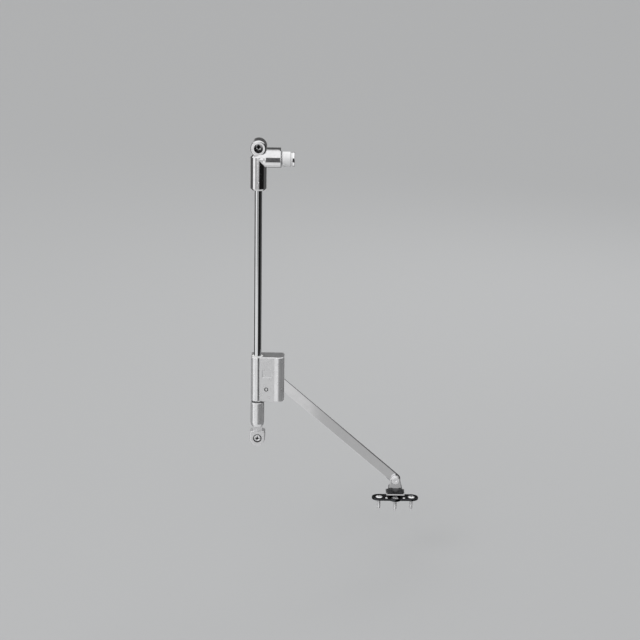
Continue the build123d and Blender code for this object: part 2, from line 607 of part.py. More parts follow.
def pad_cut():
    """The shallow square sunk into the panel, with sloping walls, left bare."""
    plane = Plane(origin=(PAD_X, -PANEL_DEPTH, PIVOT_Z), x_dir=RIGHT, z_dir=BACK)
    return extrude(plane * Rectangle(PAD_WIDTH, PAD_HEIGHT), amount=PAD_SINK, taper=PAD_SLOPE)


def make_slider_housing():
    body = extrude(Pos(0, 0, SLIDER_BOTTOM) * slider_outline(), amount=SLIDER_HEIGHT)
    rims = edges_at(body, Axis.Z, SLIDER_TOP) + edges_at(body, Axis.Z, SLIDER_BOTTOM)
    front_rims = [edge for edge in rims if edge.center().Y < -SLIDER_BACK - FACE_GAP]
    body = chamfer(front_rims, SLIDER_ROUNDING)
    groove = block(COLUMN_END, PANEL_START, PANEL_DEPTH - GROOVE_DEPTH, CHEEK_DEPTH + OVERRUN,
                   SLIDER_BOTTOM - OVERRUN, SLIDER_TOP + OVERRUN)
    groove = chamfer(groove.edges().filter_by(Axis.Z).sort_by(Axis.Y)[-2:], GROOVE_CHAMFER)
    tunnel = rod_of(ROD_D + 2 * TUNNEL_GAP, rod_axis(SLIDER_BOTTOM - OVERRUN), UP,
                    SLIDER_HEIGHT + 2 * OVERRUN)
    pin_hole = rod_of(PIVOT_D, Vector(PIVOT_X, 0, PIVOT_Z), FRONT, pin_front())
    body = body - groove - pad_cut() - tunnel - arm_slot() - cover_block(COVER_GAP) - pin_hole
    for end in bush_starts():
        body = body - bush_body(end, BUSH_SEAT_GAP)
    body = body - brake_screw_bar(BRAKE_SCREW_D + 2 * FACE_GAP, -OVERRUN) - shoe_block(SHOE_ROOM)
    body = body - lightening_pocket(SLIDER_BOTTOM + POCKET_END_WALL, PIVOT_Z - POCKET_PIN_ROOM)
    return body - lightening_pocket(PIVOT_Z + POCKET_PIN_ROOM, SLIDER_TOP - POCKET_END_WALL)


def make_slider_back_cover():
    cover = cover_block(0)
    cover = fillet(cover.edges().filter_by(Axis.Y), COVER_ROUNDING)
    return cover - rod_of(PIVOT_D, Vector(PIVOT_X, 0, PIVOT_Z), FRONT, ROD_OFFSET)


def pin_front():
    return SLOT_FRONT + PIN_GRIP


def make_arm_pivot_pin():
    length = pin_front() - SLIDER_BACK - PIN_END_GAP
    pin = rod_of(PIVOT_D, Vector(PIVOT_X, -SLIDER_BACK, PIVOT_Z), FRONT, length)
    return chamfer(edges_at(pin, Axis.Y, -SLIDER_BACK - length), PIN_CHAMFER)


# ---------------------------------------------------------------- arm

def make_arm():
    middle_x = (PIVOT_X + KNUCKLE_X) / 2
    middle_z = (PIVOT_Z + KNUCKLE_Z) / 2
    slot = Pos(middle_x, middle_z) * Rot(0, 0, -ARM_ANGLE) * SlotCenterToCenter(ARM_LENGTH, ARM_WIDTH)
    arm = upright_plate(slot, ARM_BACK, ARM_DEPTH)
    arm = chamfer(edges_at(arm, Axis.Y, -ARM_DEPTH) + edges_at(arm, Axis.Y, -ARM_BACK), ARM_EDGE)
    inner = rod_of(PIVOT_D + 2 * PIVOT_GAP, Vector(PIVOT_X, 0, PIVOT_Z), FRONT, 2 * ARM_DEPTH)
    outer = rod_of(RIVET_D + 2 * PIVOT_GAP, Vector(KNUCKLE_X, 0, KNUCKLE_Z), FRONT, 2 * ARM_DEPTH)
    return arm - inner - outer


def make_arm_washer(side):
    """A flat ring beside the arm on the pivot pin. side is front or back."""
    thickness = ARM_SIDE_GAP - WASHER_SLACK
    start = {"front": ARM_DEPTH, "back": ARM_BACK - thickness}[side]
    ring = rod_of(WASHER_D, Vector(PIVOT_X, -start, PIVOT_Z), FRONT, thickness)
    hole = rod_of(PIVOT_D + 2 * PIVOT_GAP, Vector(PIVOT_X, 0, PIVOT_Z), FRONT, 2 * ARM_DEPTH)
    return ring - hole


# ---------------------------------------------------------------- flap bracket

def knuckle_place(depth):
    return Vector(KNUCKLE_X, -depth, KNUCKLE_Z)


def lug_outline():
    """The lug: a round head, flanks that widen to the foot, and a round-ended tongue below."""
    head_r = LUG_HEAD_D / 2
    foot = LUG_FOOT_WIDTH / 2
    flank = make_face(Polyline(
        (-head_r, 0), (-foot, -LUG_FOOT_DROP), (foot, -LUG_FOOT_DROP), (head_r, 0), close=True))
    tongue_r = LUG_TONGUE_WIDTH / 2
    straight = CLIP_TOP - CLIP_BOTTOM - CLIP_LEDGE - tongue_r
    tongue = Pos(0, -LUG_FOOT_DROP) * Rectangle(
        LUG_TONGUE_WIDTH, straight, align=(Align.CENTER, Align.MAX))
    tongue_end = Pos(0, -LUG_FOOT_DROP - straight) * Circle(tongue_r)
    return Pos(KNUCKLE_X, KNUCKLE_Z) * (Circle(head_r) + flank + tongue + tongue_end)


def make_flap_knuckle():
    lug = upright_plate(lug_outline(), LUG_BACK, LUG_FRONT)
    lug = chamfer(edges_at(lug, Axis.Y, -LUG_FRONT), LUG_CHAMFER)
    return lug - rod_of(RIVET_D, knuckle_place(0), FRONT, 2 * LUG_FRONT)


def make_knuckle_rivet():
    shank_start = ARM_BACK - PIVOT_GAP
    shank = rod_of(RIVET_D, knuckle_place(shank_start), FRONT, LUG_FRONT - shank_start)
    head = rod_of(RIVET_HEAD_D, knuckle_place(LUG_FRONT), FRONT, RIVET_HEAD_T)
    head = fillet(edges_at(head, Axis.Y, -LUG_FRONT - RIVET_HEAD_T), RIVET_ROUNDING)
    tail = rod_of(RIVET_TAIL_D, knuckle_place(shank_start - RIVET_HEAD_T), FRONT, RIVET_HEAD_T)
    tail = fillet(edges_at(tail, Axis.Y, -shank_start + RIVET_HEAD_T), RIVET_ROUNDING)
    dimple = cone_of(RIVET_DIMPLE_D, RIVET_DIMPLE_D / 3,
                     knuckle_place(LUG_FRONT + RIVET_HEAD_T), BACK, RIVET_DIMPLE_DEPTH)
    return shank + head + tail - dimple


def make_knuckle_washer():
    ring = rod_of(WASHER_D, knuckle_place(ARM_DEPTH + FACE_GAP * 2), FRONT, LUG_WASHER_T)
    return ring - rod_of(RIVET_D, knuckle_place(0), FRONT, 2 * LUG_FRONT)


def dome(base_d, rise, x, depth, z):
    """A spherical cap that stands on a height."""
    radius = (base_d ** 2 / 4 + rise ** 2) / (2 * rise)
    ball = Pos(x, -depth, z + rise - radius) * Sphere(radius)
    return ball & block(x - base_d, x + base_d, depth - base_d, depth + base_d, z, z + 2 * rise)


def plate_screw_places():
    """Each plate screw's place: X, and its distance from the mounting face."""
    outer = PLATE_CENTRE_DEPTH + OUTER_SCREW_OFFSET
    half = PLATE_SCREW_SPACING / 2
    return {"left": (KNUCKLE_X - half, outer),
            "middle": (KNUCKLE_X, PLATE_CENTRE_DEPTH + MIDDLE_SCREW_OFFSET),
            "right": (KNUCKLE_X + half, outer)}


def plate_screw_cut(name):
    """The countersunk hole that a plate screw needs."""
    x, depth = plate_screw_places()[name]
    head_top = Vector(x, -depth, PLATE_TOP)
    taper = (PLATE_SCREW_HEAD_D - PLATE_SCREW_NECK_D) / 2
    gap = PLATE_SCREW_GAP
    sink = cone_of(PLATE_SCREW_HEAD_D + 2 * gap, PLATE_SCREW_NECK_D + 2 * gap, head_top, DOWN, taper)
    hole = rod_of(PLATE_SCREW_D + 2 * gap, head_top, DOWN, 2 * PLATE_T)
    return sink + hole


def make_plate_screw(name):
    x, depth = plate_screw_places()[name]
    head_top = Vector(x, -depth, PLATE_TOP)
    taper = (PLATE_SCREW_HEAD_D - PLATE_SCREW_NECK_D) / 2
    head = cone_of(PLATE_SCREW_HEAD_D, PLATE_SCREW_NECK_D, head_top, DOWN, taper)
    head = head + dome(PLATE_SCREW_HEAD_D, PLATE_SCREW_DOME, x, depth, PLATE_TOP)
    face_point = Vector(x, -depth, FLAP_Z)
    shank = screw_shank(PLATE_SCREW_D, PLATE_SCREW_NECK_D, head_top, face_point, DOWN,
                        PLATE_SCREW_REACH)
    recess = cross_recess(head_top + UP * PLATE_SCREW_DOME, DOWN, PLATE_RECESS,
                          PLATE_RECESS_DEPTH)
    return head + shank - recess


def saddle_rivet_places():
    """The two rivets beside the saddle: X, and the distance from the mounting face."""
    depth = PLATE_CENTRE_DEPTH + SADDLE_RIVET_FORWARD
    return {"left": (KNUCKLE_X - SADDLE_RIVET_OFFSET, depth),
            "right": (KNUCKLE_X + SADDLE_RIVET_OFFSET, depth)}


def saddle_rivet_shank(name):
    x, depth = saddle_rivet_places()[name]
    return rod_of(SADDLE_RIVET_D, Vector(x, -depth, PLATE_TOP), DOWN, PLATE_T - SADDLE_RIVET_FLOOR)


def make_saddle_rivet(name):
    x, depth = saddle_rivet_places()[name]
    head = dome(SADDLE_RIVET_HEAD_D, SADDLE_RIVET_HEAD_T, x, depth, PLATE_TOP)
    return head + saddle_rivet_shank(name)


def make_flap_plate():
    """The oblong plate, a raised dish round the middle screw and a saddle for the clip."""
    centre = Pos(KNUCKLE_X, -PLATE_CENTRE_DEPTH, FLAP_Z)
    straight = PLATE_LENGTH - PLATE_DEPTH
    plate = extrude(centre * SlotCenterToCenter(straight, PLATE_DEPTH), amount=PLATE_T)
    plate = fillet(edges_at(plate, Axis.Z, PLATE_TOP), PLATE_ROUNDING)
    middle_x, middle_depth = plate_screw_places()["middle"]
    dish = rod_of(DISH_D, Vector(middle_x, -middle_depth, FLAP_Z), UP, PLATE_T + DISH_RISE)
    dish = fillet(edges_at(dish, Axis.Z, PLATE_TOP + DISH_RISE), PLATE_ROUNDING)
    back = PLATE_CENTRE_DEPTH - PLATE_DEPTH / 2
    saddle = block(KNUCKLE_X - SADDLE_WIDTH / 2, KNUCKLE_X + SADDLE_WIDTH / 2, back,
                   back + SADDLE_DEPTH, FLAP_Z, TRAY_BOTTOM)
    hollow = rod_of(DISH_D - 2 * DISH_WALL, Vector(middle_x, -middle_depth, PLATE_TOP), UP,
                    DISH_RISE + OVERRUN)
    plate = plate + dish - hollow + saddle
    for name in plate_screw_places():
        plate = plate - plate_screw_cut(name)
    for name in saddle_rivet_places():
        plate = plate - saddle_rivet_shank(name)
    return plate


def make_clip_tray():
    """A bright steel tray on the saddle, with an upturned lip at each end."""
    half = TRAY_WIDTH / 2
    depth0 = CLIP_FRONT - CLIP_DEPTH
    depth1 = CLIP_FRONT + TRAY_OVERHANG
    tray = block(KNUCKLE_X - half, KNUCKLE_X + half, depth0, depth1, TRAY_BOTTOM, CLIP_BOTTOM)
    for side in (-1, 1):
        ends = sorted((KNUCKLE_X + side * half, KNUCKLE_X + side * (half - TRAY_T)))
        tray = tray + block(ends[0], ends[1], depth0, depth1, TRAY_BOTTOM, CLIP_BOTTOM + TRAY_LIP)
    lower_corners = tray.edges().filter_by(Axis.Y).group_by(Axis.Z)[0]
    tray = fillet(lower_corners, TRAY_ROUNDING)
    front_edges = edges_at(tray, Axis.Y, -depth1).filter_by(Axis.X).group_by(Axis.Z)
    front_floor = [edge for edge in front_edges[1] if edge.length > TRAY_WIDTH / 2]
    return fillet(front_floor, TRAY_ROUNDING)


def make_clip_housing():
    """The dark body that holds the knuckle's foot, open in front of the foot's tongue."""
    half_top = CLIP_TOP_WIDTH / 2
    half_foot = CLIP_FOOT_WIDTH / 2
    step_z = CLIP_BOTTOM + CLIP_STEP_RISE
    step_x = half_foot - CLIP_STEP
    right_side = [(half_foot, CLIP_BOTTOM), (half_foot, step_z), (step_x, step_z + CLIP_STEP / 2),
                  (half_top, CLIP_TOP)]
    left_side = [(-x, z) for x, z in reversed(right_side)]
    outline = Pos(KNUCKLE_X, 0) * make_face(Polyline(*right_side, *left_side, close=True))
    body = upright_plate(outline, CLIP_FRONT - CLIP_DEPTH, CLIP_FRONT)
    front_edge = edges_at(body, Axis.Y, -CLIP_FRONT).filter_by(Axis.X).sort_by(Axis.Z)[-1]
    body = chamfer(front_edge, CLIP_CHAMFER)
    return body - upright_plate(lug_outline(), LUG_BACK, CLIP_FRONT + OVERRUN)


pieces = {
    "rod": make_rod(),
    "rod_cross_pin": make_cross_pin(),
    "upper_bracket": make_upper_bracket(),
    "upper_fixing_screw": fixing_screw(HOLE_DISTANCE),
    "lower_bracket": make_lower_bracket(),
    "lower_fixing_screw": fixing_screw(0),
    "stop_buffer": make_stop_buffer(),
    "catch_stub": make_catch_stub(),
    "catch_magnet": make_catch_magnet(),
    "upper_pole_plate": make_pole_plate(1),
    "lower_pole_plate": make_pole_plate(-1),
    "slider_housing": make_slider_housing(),
    "slider_back_cover": make_slider_back_cover(),
    "upper_guide_bush": make_guide_bush("upper"),
    "lower_guide_bush": make_guide_bush("lower"),
    "brake_shoe": make_brake_shoe(),
    "brake_screw": make_brake_screw(),
    "arm_pivot_pin": make_arm_pivot_pin(),
    "arm": make_arm(),
    "front_arm_washer": make_arm_washer("front"),
    "back_arm_washer": make_arm_washer("back"),
    "flap_knuckle": make_flap_knuckle(),
    "knuckle_rivet": make_knuckle_rivet(),
    "knuckle_washer": make_knuckle_washer(),
    "clip_housing": make_clip_housing(),
    "clip_tray": make_clip_tray(),
    "flap_plate": make_flap_plate(),
}
for screw_name in plate_screw_places():
    pieces[screw_name + "_plate_screw"] = make_plate_screw(screw_name)
for rivet_name in saddle_rivet_places():
    pieces[rivet_name + "_saddle_rivet"] = make_saddle_rivet(rivet_name)

os.makedirs("parts", exist_ok=True)
for node, solid in pieces.items():
    solid.label = node
    export_step(solid, f"parts/{node}.step")
    print(f"{node}: volume {solid.volume:.1f} mm3, {len(solid.solids())} solid")
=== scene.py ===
# %% [markdown]
# # Lid stay for a drop-down flap
#
# A slider with a brake runs on a fixed round rod. A flat arm joins it to a bracket on the flap,
# and the upper bracket carries a magnetic catch. The measured parts come from the frame and stay
# as they are. This script adds their finishes, the screw threads, the light and the camera.
# All lengths are in metres in the frame's own directions: X to the cabinet's front, Y into the
# side panel, Z up.

# %% Load the frame
import json
import math

import bpy
from mathutils import Matrix, Vector

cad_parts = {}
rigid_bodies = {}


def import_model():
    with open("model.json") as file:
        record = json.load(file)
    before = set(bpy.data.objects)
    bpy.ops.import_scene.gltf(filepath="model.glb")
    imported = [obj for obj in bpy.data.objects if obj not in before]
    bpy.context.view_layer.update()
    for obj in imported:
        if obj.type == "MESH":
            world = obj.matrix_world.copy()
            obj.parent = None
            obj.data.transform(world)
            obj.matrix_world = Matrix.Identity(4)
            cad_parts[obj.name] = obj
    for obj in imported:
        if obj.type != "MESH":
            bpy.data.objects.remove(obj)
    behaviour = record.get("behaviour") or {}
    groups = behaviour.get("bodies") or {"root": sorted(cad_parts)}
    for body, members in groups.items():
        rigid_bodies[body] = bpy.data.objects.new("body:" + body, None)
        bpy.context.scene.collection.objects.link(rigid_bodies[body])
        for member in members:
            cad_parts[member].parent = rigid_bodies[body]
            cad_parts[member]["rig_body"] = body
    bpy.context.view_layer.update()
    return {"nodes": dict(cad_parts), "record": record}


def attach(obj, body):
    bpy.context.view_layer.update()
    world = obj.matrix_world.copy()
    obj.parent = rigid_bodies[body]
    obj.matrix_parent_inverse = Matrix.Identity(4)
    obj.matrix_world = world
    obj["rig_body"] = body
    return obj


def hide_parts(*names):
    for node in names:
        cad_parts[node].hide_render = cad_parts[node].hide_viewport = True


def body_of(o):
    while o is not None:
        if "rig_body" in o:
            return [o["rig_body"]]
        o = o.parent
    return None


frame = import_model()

nodes = frame["nodes"]

# %% [markdown]
# ## Camera
#
# The part is seen from the cabinet's middle, a little above, with a long lens. A free-standing
# camera could be aimed with a constraint or with a matrix. A matrix built from tilt, turn and roll
# keeps the three angles readable and gives the same view every time.

# %% Camera
CAMERA_PLACE = Vector((0.0412, -1.3598, 0.5136))
CAMERA_TILT = math.radians(16.18)
CAMERA_TURN = math.radians(-0.78)
CAMERA_ROLL = math.radians(0.99)
SENSOR_WIDTH = 36.0
LENS_LENGTH = 82.4


def camera_matrix(place, tilt, turn, roll):
    forward = Vector((-math.sin(turn) * math.cos(tilt), math.cos(turn) * math.cos(tilt),
                      -math.sin(tilt)))
    right = Vector((math.cos(turn), math.sin(turn), 0))
    up = right.cross(forward)
    across = right * math.cos(roll) + up * math.sin(roll)
    upward = up * math.cos(roll) - right * math.sin(roll)
    matrix = Matrix((across, upward, -forward)).transposed().to_4x4()
    matrix.translation = place
    return matrix


camera_data = bpy.data.cameras.new("camera")
camera_data.sensor_width = SENSOR_WIDTH
camera_data.lens = LENS_LENGTH
camera = bpy.data.objects.new("camera", camera_data)
camera.matrix_world = camera_matrix(CAMERA_PLACE, CAMERA_TILT, CAMERA_TURN, CAMERA_ROLL)
bpy.context.scene.collection.objects.link(camera)
bpy.context.scene.camera = camera
bpy.context.scene.view_settings.view_transform = "Standard"
print("camera", tuple(round(v, 3) for v in camera.location))

# %% [markdown]
# ## Writing finishes as sums
#
# Every finish is a procedural pattern over the part's own coordinates. Node trees can be drawn by
# hand or built in code. Here a small class lets the patterns be written as arithmetic, because a
# sum is easier to read and change than a page of links. Everything that isn't arithmetic comes from
# a single method that makes one node from its type, its settings and its inputs.

# %% Arithmetic on sockets


class Field:
    """A number that varies over a surface. A sign between two of them adds one Math node."""

    def __init__(self, finish, socket):
        self.finish = finish
        self.socket = socket

    def _maths(self, operation, first, second):
        node = self.finish.node("ShaderNodeMath", {"operation": operation},
                                {0: first, 1: second})
        return Field(self.finish, node.outputs[0])

    def __add__(self, other):
        return self._maths("ADD", self, other)

    def __radd__(self, other):
        return self._maths("ADD", other, self)

    def __sub__(self, other):
        return self._maths("SUBTRACT", self, other)

    def __rsub__(self, other):
        return self._maths("SUBTRACT", other, self)

    def __mul__(self, other):
        return self._maths("MULTIPLY", self, other)

    def __rmul__(self, other):
        return self._maths("MULTIPLY", other, self)

    def root(self):
        return self._maths("SQRT", self, 0.0)

    def inside(self, low, high, soft):
        """1 between low and high, fading to 0 over a soft edge on either side."""
        return self.step(low - soft / 2, low + soft / 2) * (
            1 - self.step(high - soft / 2, high + soft / 2))

    def step(self, low, high):
        """0 below low, 1 above high and a smooth rise between them."""
        node = self.finish.node("ShaderNodeMapRange", {"interpolation_type": "SMOOTHSTEP"},
                                {"Value": self, "From Min": low, "From Max": high})
        return Field(self.finish, node.outputs["Result"])


print("arithmetic on sockets is ready")

# %% One material and its nodes
MIX_ENDS = (6, 7)            # a Mix node's two colour inputs
MIX_RESULT = 2               # and its colour output
COAT_ROUGHNESS = 0.15        # only the black plastic has a coat


class Nodes:
    """A node tree, and the one method that adds a node to it."""

    def __init__(self, tree):
        self.tree = tree
        self.place = self.node("ShaderNodeTexCoord").outputs["Object"]

    def node(self, kind, settings=None, inputs=None):
        node = self.tree.nodes.new(kind)
        for name, value in (settings or {}).items():
            setattr(node, name, value)
        for name, value in (inputs or {}).items():
            if isinstance(value, Field):
                value = value.socket
            if isinstance(value, bpy.types.NodeSocket):
                self.tree.links.new(value, node.inputs[name])
            else:
                node.inputs[name].default_value = value
        return node

    def axes(self):
        """The three coordinates of the place, each as a field."""
        split = self.node("ShaderNodeSeparateXYZ", None, {"Vector": self.place})
        return [Field(self, output) for output in split.outputs]


class Finish(Nodes):
    """One material: a Principled surface and the nodes that vary it."""

    def __init__(self, name, colour, roughness, metallic=0.0, coat=0.0):
        self.material = bpy.data.materials.new(name)
        self.material.use_nodes = True
        super().__init__(self.material.node_tree)
        self.surface = self.tree.nodes["Principled BSDF"]
        for socket, value in (("Base Color", (*colour, 1.0)), ("Roughness", roughness),
                              ("Metallic", metallic), ("Coat Weight", coat),
                              ("Coat Roughness", COAT_ROUGHNESS)):
            self.surface.inputs[socket].default_value = value

    def set(self, name, value):
        self.tree.links.new(value.socket if isinstance(value, Field) else value,
                            self.surface.inputs[name])

    def stretched(self, turn, scale):
        """The part's coordinates, turned about Y and stretched, for grain that runs one way."""
        node = self.node("ShaderNodeMapping", {"vector_type": "TEXTURE"},
                         {"Vector": self.place, "Rotation": (0, turn, 0),
                          "Scale": tuple(1 / s for s in scale)})
        return node.outputs["Vector"]

    def noise(self, scale, detail, roughness, vector=None):
        """scale is in waves to the metre."""
        node = self.node("ShaderNodeTexNoise", None,
                         {"Vector": vector or self.place, "Scale": scale, "Detail": detail,
                          "Roughness": roughness})
        return Field(self, node.outputs["Fac"])

    def cells(self, scale):
        node = self.node("ShaderNodeTexVoronoi", {"feature": "F1"},
                         {"Vector": self.place, "Scale": scale})
        return Field(self, node.outputs["Distance"])

    def blend(self, factor, first, second):
        """A colour between two colours, each a plain one or another blend."""
        ends = [(*end, 1.0) if isinstance(end, tuple) else end for end in (first, second)]
        node = self.node("ShaderNodeMix", {"data_type": "RGBA"},
                         {"Factor": factor, MIX_ENDS[0]: ends[0], MIX_ENDS[1]: ends[1]})
        return node.outputs[MIX_RESULT]

    def bump(self, height, depth):
        """height runs from 0 to 1 and depth is its true size in metres."""
        node = self.node("ShaderNodeBump", None, {"Strength": 1.0, "Distance": depth,
                                                  "Height": height})
        self.set("Normal", node.outputs["Normal"])


def shaded(colour, factor):
    return tuple(channel * factor for channel in colour)


print("finish tools are ready")

# %% [markdown]
# ## Cast metal
#
# The two brackets and the slider are die castings, so their skin is never flat: a slow wave from
# the die, a finer orange peel under the plating and a few duller patches. A single roughness would
# look like painted plastic. One function makes both the bright and the satin casting, because only
# the numbers differ.

# %% Cast metal
MM = 0.001
# Patterns, as waves to the metre, detail and roughness, then the two levels that they rise between.
DIE_WAVE = (90, 2, 0.5)
ORANGE_PEEL = (1400, 3, 0.6)
PATCHES = (260, 4, 0.6)
PATCH_LEVELS = (0.35, 0.7)
PATCH_SHADE = 0.93
PEEL_GLOSS = 0.04            # how far the orange peel changes the roughness
MOTTLE = (700, 3, 0.7)
MOTTLE_LEVELS = (0.3, 0.7)
MOTTLE_SHADES = (0.65, 1.35)


def cast_metal(name, colour, roughness, spread, wave, peel, metallic=1.0, dull=None,
               dull_and_shade_colour=None, dull_roughness=None):
    """The dull places' function takes the finish and gives a field that is 1 where the casting is
    dull and where shade is painted on it.
    """
    finish = Finish(name, colour, roughness, metallic=metallic)
    slow = finish.noise(*DIE_WAVE)
    fine = finish.noise(*ORANGE_PEEL)
    patches = finish.noise(*PATCHES).step(*PATCH_LEVELS)
    tone = finish.blend(patches, colour, shaded(colour, PATCH_SHADE))
    gloss = roughness + spread * patches + PEEL_GLOSS * (fine - 0.5)
    # Dull skin and painted shade take a mottled dark colour and their own roughness.
    if dull:
        where = dull(finish)
        mottle = finish.noise(*MOTTLE).step(*MOTTLE_LEVELS)
        dark = finish.blend(mottle, *(shaded(dull_and_shade_colour, shade) for shade in MOTTLE_SHADES))
        tone = finish.blend(where, tone, dark)
        gloss = gloss + (dull_roughness - gloss) * where
    finish.set("Roughness", gloss)
    finish.set("Base Color", tone)
    depth = wave + peel
    finish.bump(slow * (wave / depth) + fine * (peel / depth), depth)
    return finish.material


print("a casting's patterns repeat every", [round(1 / row[0] / MM, 1) for row in
                                            (DIE_WAVE, ORANGE_PEEL, PATCHES, MOTTLE)], "mm")

# %% [markdown]
# ## Drawn metal and small plated parts
#
# The rod is ground and chromed, and the arm and the other sheet parts are polished strip. All have
# a fine grain that runs one way, so their noise is squeezed across the grain. The screws, pins and
# rivets are zinc plated, which shows as small cells, so they take a Voronoi pattern with the noise.

# %% Drawn metal and small plated parts
GRAIN = (1.0, 3, 0.6)        # the stretched coordinates set its scale
GRAIN_GLOSS = 0.04
HAZE = (120, 3, 0.5)
HAZE_LEVELS = (0.3, 0.75)
HAZE_GLOSS = 0.02
HAZE_SHADE = 0.96
ZINC_CELLS = 2600
CELL_GLOSS = 0.05
ZINC_HAZE = (500, 3, 0.6)
ZINC_LEVELS = (0.35, 0.7)
ZINC_SHADE = 0.9
# Painted shade in the driver recesses and round the brake screw's rim.
RECESS_SHADE_COLOUR = (0.035, 0.035, 0.037)


def drawn_metal(name, colour, roughness, turn, along, across, depth):
    """Bright metal with a fine grain that runs one way. turn is about Y, in radians, and along
    and across are how many waves of the grain go to a metre."""
    finish = Finish(name, colour, roughness, metallic=1.0)
    grain = finish.noise(*GRAIN, finish.stretched(turn, (along, across, across)))
    haze = finish.noise(*HAZE).step(*HAZE_LEVELS)
    finish.set("Roughness", roughness + GRAIN_GLOSS * (grain - 0.5) + HAZE_GLOSS * haze)
    finish.set("Base Color", finish.blend(haze, colour, shaded(colour, HAZE_SHADE)))
    finish.bump(grain, depth)
    return finish.material


def plated_small(name, colour, roughness, spread, depth, metallic):
    """Small turned or formed parts: zinc plating with fine cells, and painted shade in the driver
    recesses.
    """
    finish = Finish(name, colour, roughness, metallic=metallic)
    cells = finish.cells(ZINC_CELLS)
    haze = finish.noise(*ZINC_HAZE).step(*ZINC_LEVELS)
    finish.set("Roughness", roughness + spread * haze + CELL_GLOSS * cells)
    bright = finish.blend(haze, colour, shaded(colour, ZINC_SHADE))
    finish.set("Base Color", finish.blend(painted_recess_shade(finish), bright, RECESS_SHADE_COLOUR))
    finish.bump(cells, depth)
    return finish.material


print("zinc cells", round(1 / ZINC_CELLS / MM, 2), "mm across")

# %% [markdown]
# ## Dull places and painted shade
#
# The sunk label on the barrel and the slider's end faces are duller and darker than the rest of
# their castings. The lug's tongue is painted dark as a painted reflection, and the slider's groove,
# the walls of its sunk square, the counterbores and the screws' recesses are painted with shade.
# They could be separate parts, but each is one casting with its body, so the finish changes with
# the place instead. Each place is a product of spans along the frame's axes, 1 inside and 0
# outside, with a soft edge.

# %% Places on the castings and screws, in millimetres
SOFT = 0.1                   # the usual soft edge of a place
ROD_DEPTH = 13.0
BARREL_HEIGHT = 277.7
BARREL_RADIUS = 8.0
LABEL_SINK = 0.3
LABEL_SPAN = (6.9, 20.2)
LABEL_FRONT = (0.8, 0.82)    # only the barrel's front is this share of its radius forward
# The lug's tongue below this height is painted dark, a painted reflection of the plate.
LUG_SPAN = (100, 150)
TONGUE_TOP = -48.5
TONGUE_SOFT = 0.2
SLIDER_ENDS = (41.0, 86.0)
END_SKIN = 0.05
# The groove, whose floor gets painted shade.
GROOVE_SPAN = (0.3, 1.9)
GROOVE_BOTTOM = 17.7         # a little behind the groove's floor
FLOOR_SOFT = 0.02            # at the floor of the groove and of the sunk square
PAD_SPAN = (4.4, 14.2)
PAD_HEIGHTS = (65.3, 73.7)
PAD_FLOOR = 17.85            # a little in front of the square's floor, so only its walls count
# How much painted shade the walls of the sunk square take.
PAD_WALL_SHADE = 0.4
PANEL_FACE = 18.1            # a little behind the panel that the groove and square are sunk into
EYE_FACES = (10.0, 19.0)     # how far the lower and the upper eye stand out
# The counterbores round the fixing screws' heads, where shade is painted.
POCKET_RADIUS = 4.35
POCKET_FLOOR = 6.0
POCKET_SOFT = 0.05
BRAKE_SCREW = (8.6, 53.5, 15.0)
# The ring of painted shade round the brake screw.
BRAKE_RIM = (1.2, 2.1)
FIXING_HEIGHTS = (0.0, 288.0)
FIXING_FACE = 9.55           # a little behind the front of the heads
FIXING_RECESS = 1.8
PLATE_FACE = -58.15          # a little under the tops of the domed heads
PLATE_RECESS_FLOOR = -60.3
PLATE_RECESS = 1.9
PLATE_SCREWS = ((120.98, 13.6), (136.98, 15.7), (152.98, 13.6))

print("slider's ends at", SLIDER_ENDS, "and fixing screws at", FIXING_HEIGHTS)

# %% Dull places and painted shade


def bracket_label_and_painted_shade(finish):
    """The dull sunk label on the front of the upper bracket's barrel, the lug's hidden tongue
    painted dark as a painted reflection, and the painted shade in the counterbores.
    """
    x, y, z = finish.axes()
    forward = y * -1 - ROD_DEPTH * MM
    height = z - BARREL_HEIGHT * MM
    reach = (forward * forward + height * height).root()
    edge = (BARREL_RADIUS - LABEL_SINK / 2) * MM
    sunk = 1 - reach.step(edge - SOFT * MM, edge + SOFT * MM)
    front = forward.step(LABEL_FRONT[0] * edge, LABEL_FRONT[1] * edge)
    label = x.inside(LABEL_SPAN[0] * MM, LABEL_SPAN[1] * MM, SOFT * MM) * sunk * front
    # Painted dark reflection on the lug's tongue.
    tongue = x.inside(LUG_SPAN[0] * MM, LUG_SPAN[1] * MM, MM) * (
        1 - z.step((TONGUE_TOP - TONGUE_SOFT) * MM, TONGUE_TOP * MM))
    return label + tongue + painted_pocket_shade(finish)


def slider_dull_and_painted_shade(finish):
    """The slider's two end faces, left dull as they come from the die, painted shade on the
    groove's floor, and a lighter painted shade on the walls of the sunk square."""
    x, y, z = finish.axes()
    ends = [z.inside((end - END_SKIN) * MM, (end + END_SKIN) * MM, END_SKIN * MM)
            for end in SLIDER_ENDS]
    # Painted shade on the groove's floor and on the walls of the sunk square.
    groove = x.inside(GROOVE_SPAN[0] * MM, GROOVE_SPAN[1] * MM, SOFT * MM) * y.inside(
        -PANEL_FACE * MM, -GROOVE_BOTTOM * MM, FLOOR_SOFT * MM)
    housing = z.inside((SLIDER_ENDS[0] - 1) * MM, (SLIDER_ENDS[1] + 1) * MM, SOFT * MM)
    walls = x.inside(PAD_SPAN[0] * MM, PAD_SPAN[1] * MM, SOFT * MM) * y.inside(
        -PANEL_FACE * MM, -PAD_FLOOR * MM, FLOOR_SOFT * MM)
    pad = walls * z.inside(PAD_HEIGHTS[0] * MM, PAD_HEIGHTS[1] * MM, SOFT * MM)
    return ends[0] + ends[1] + groove * housing + PAD_WALL_SHADE * pad + painted_pocket_shade(finish)


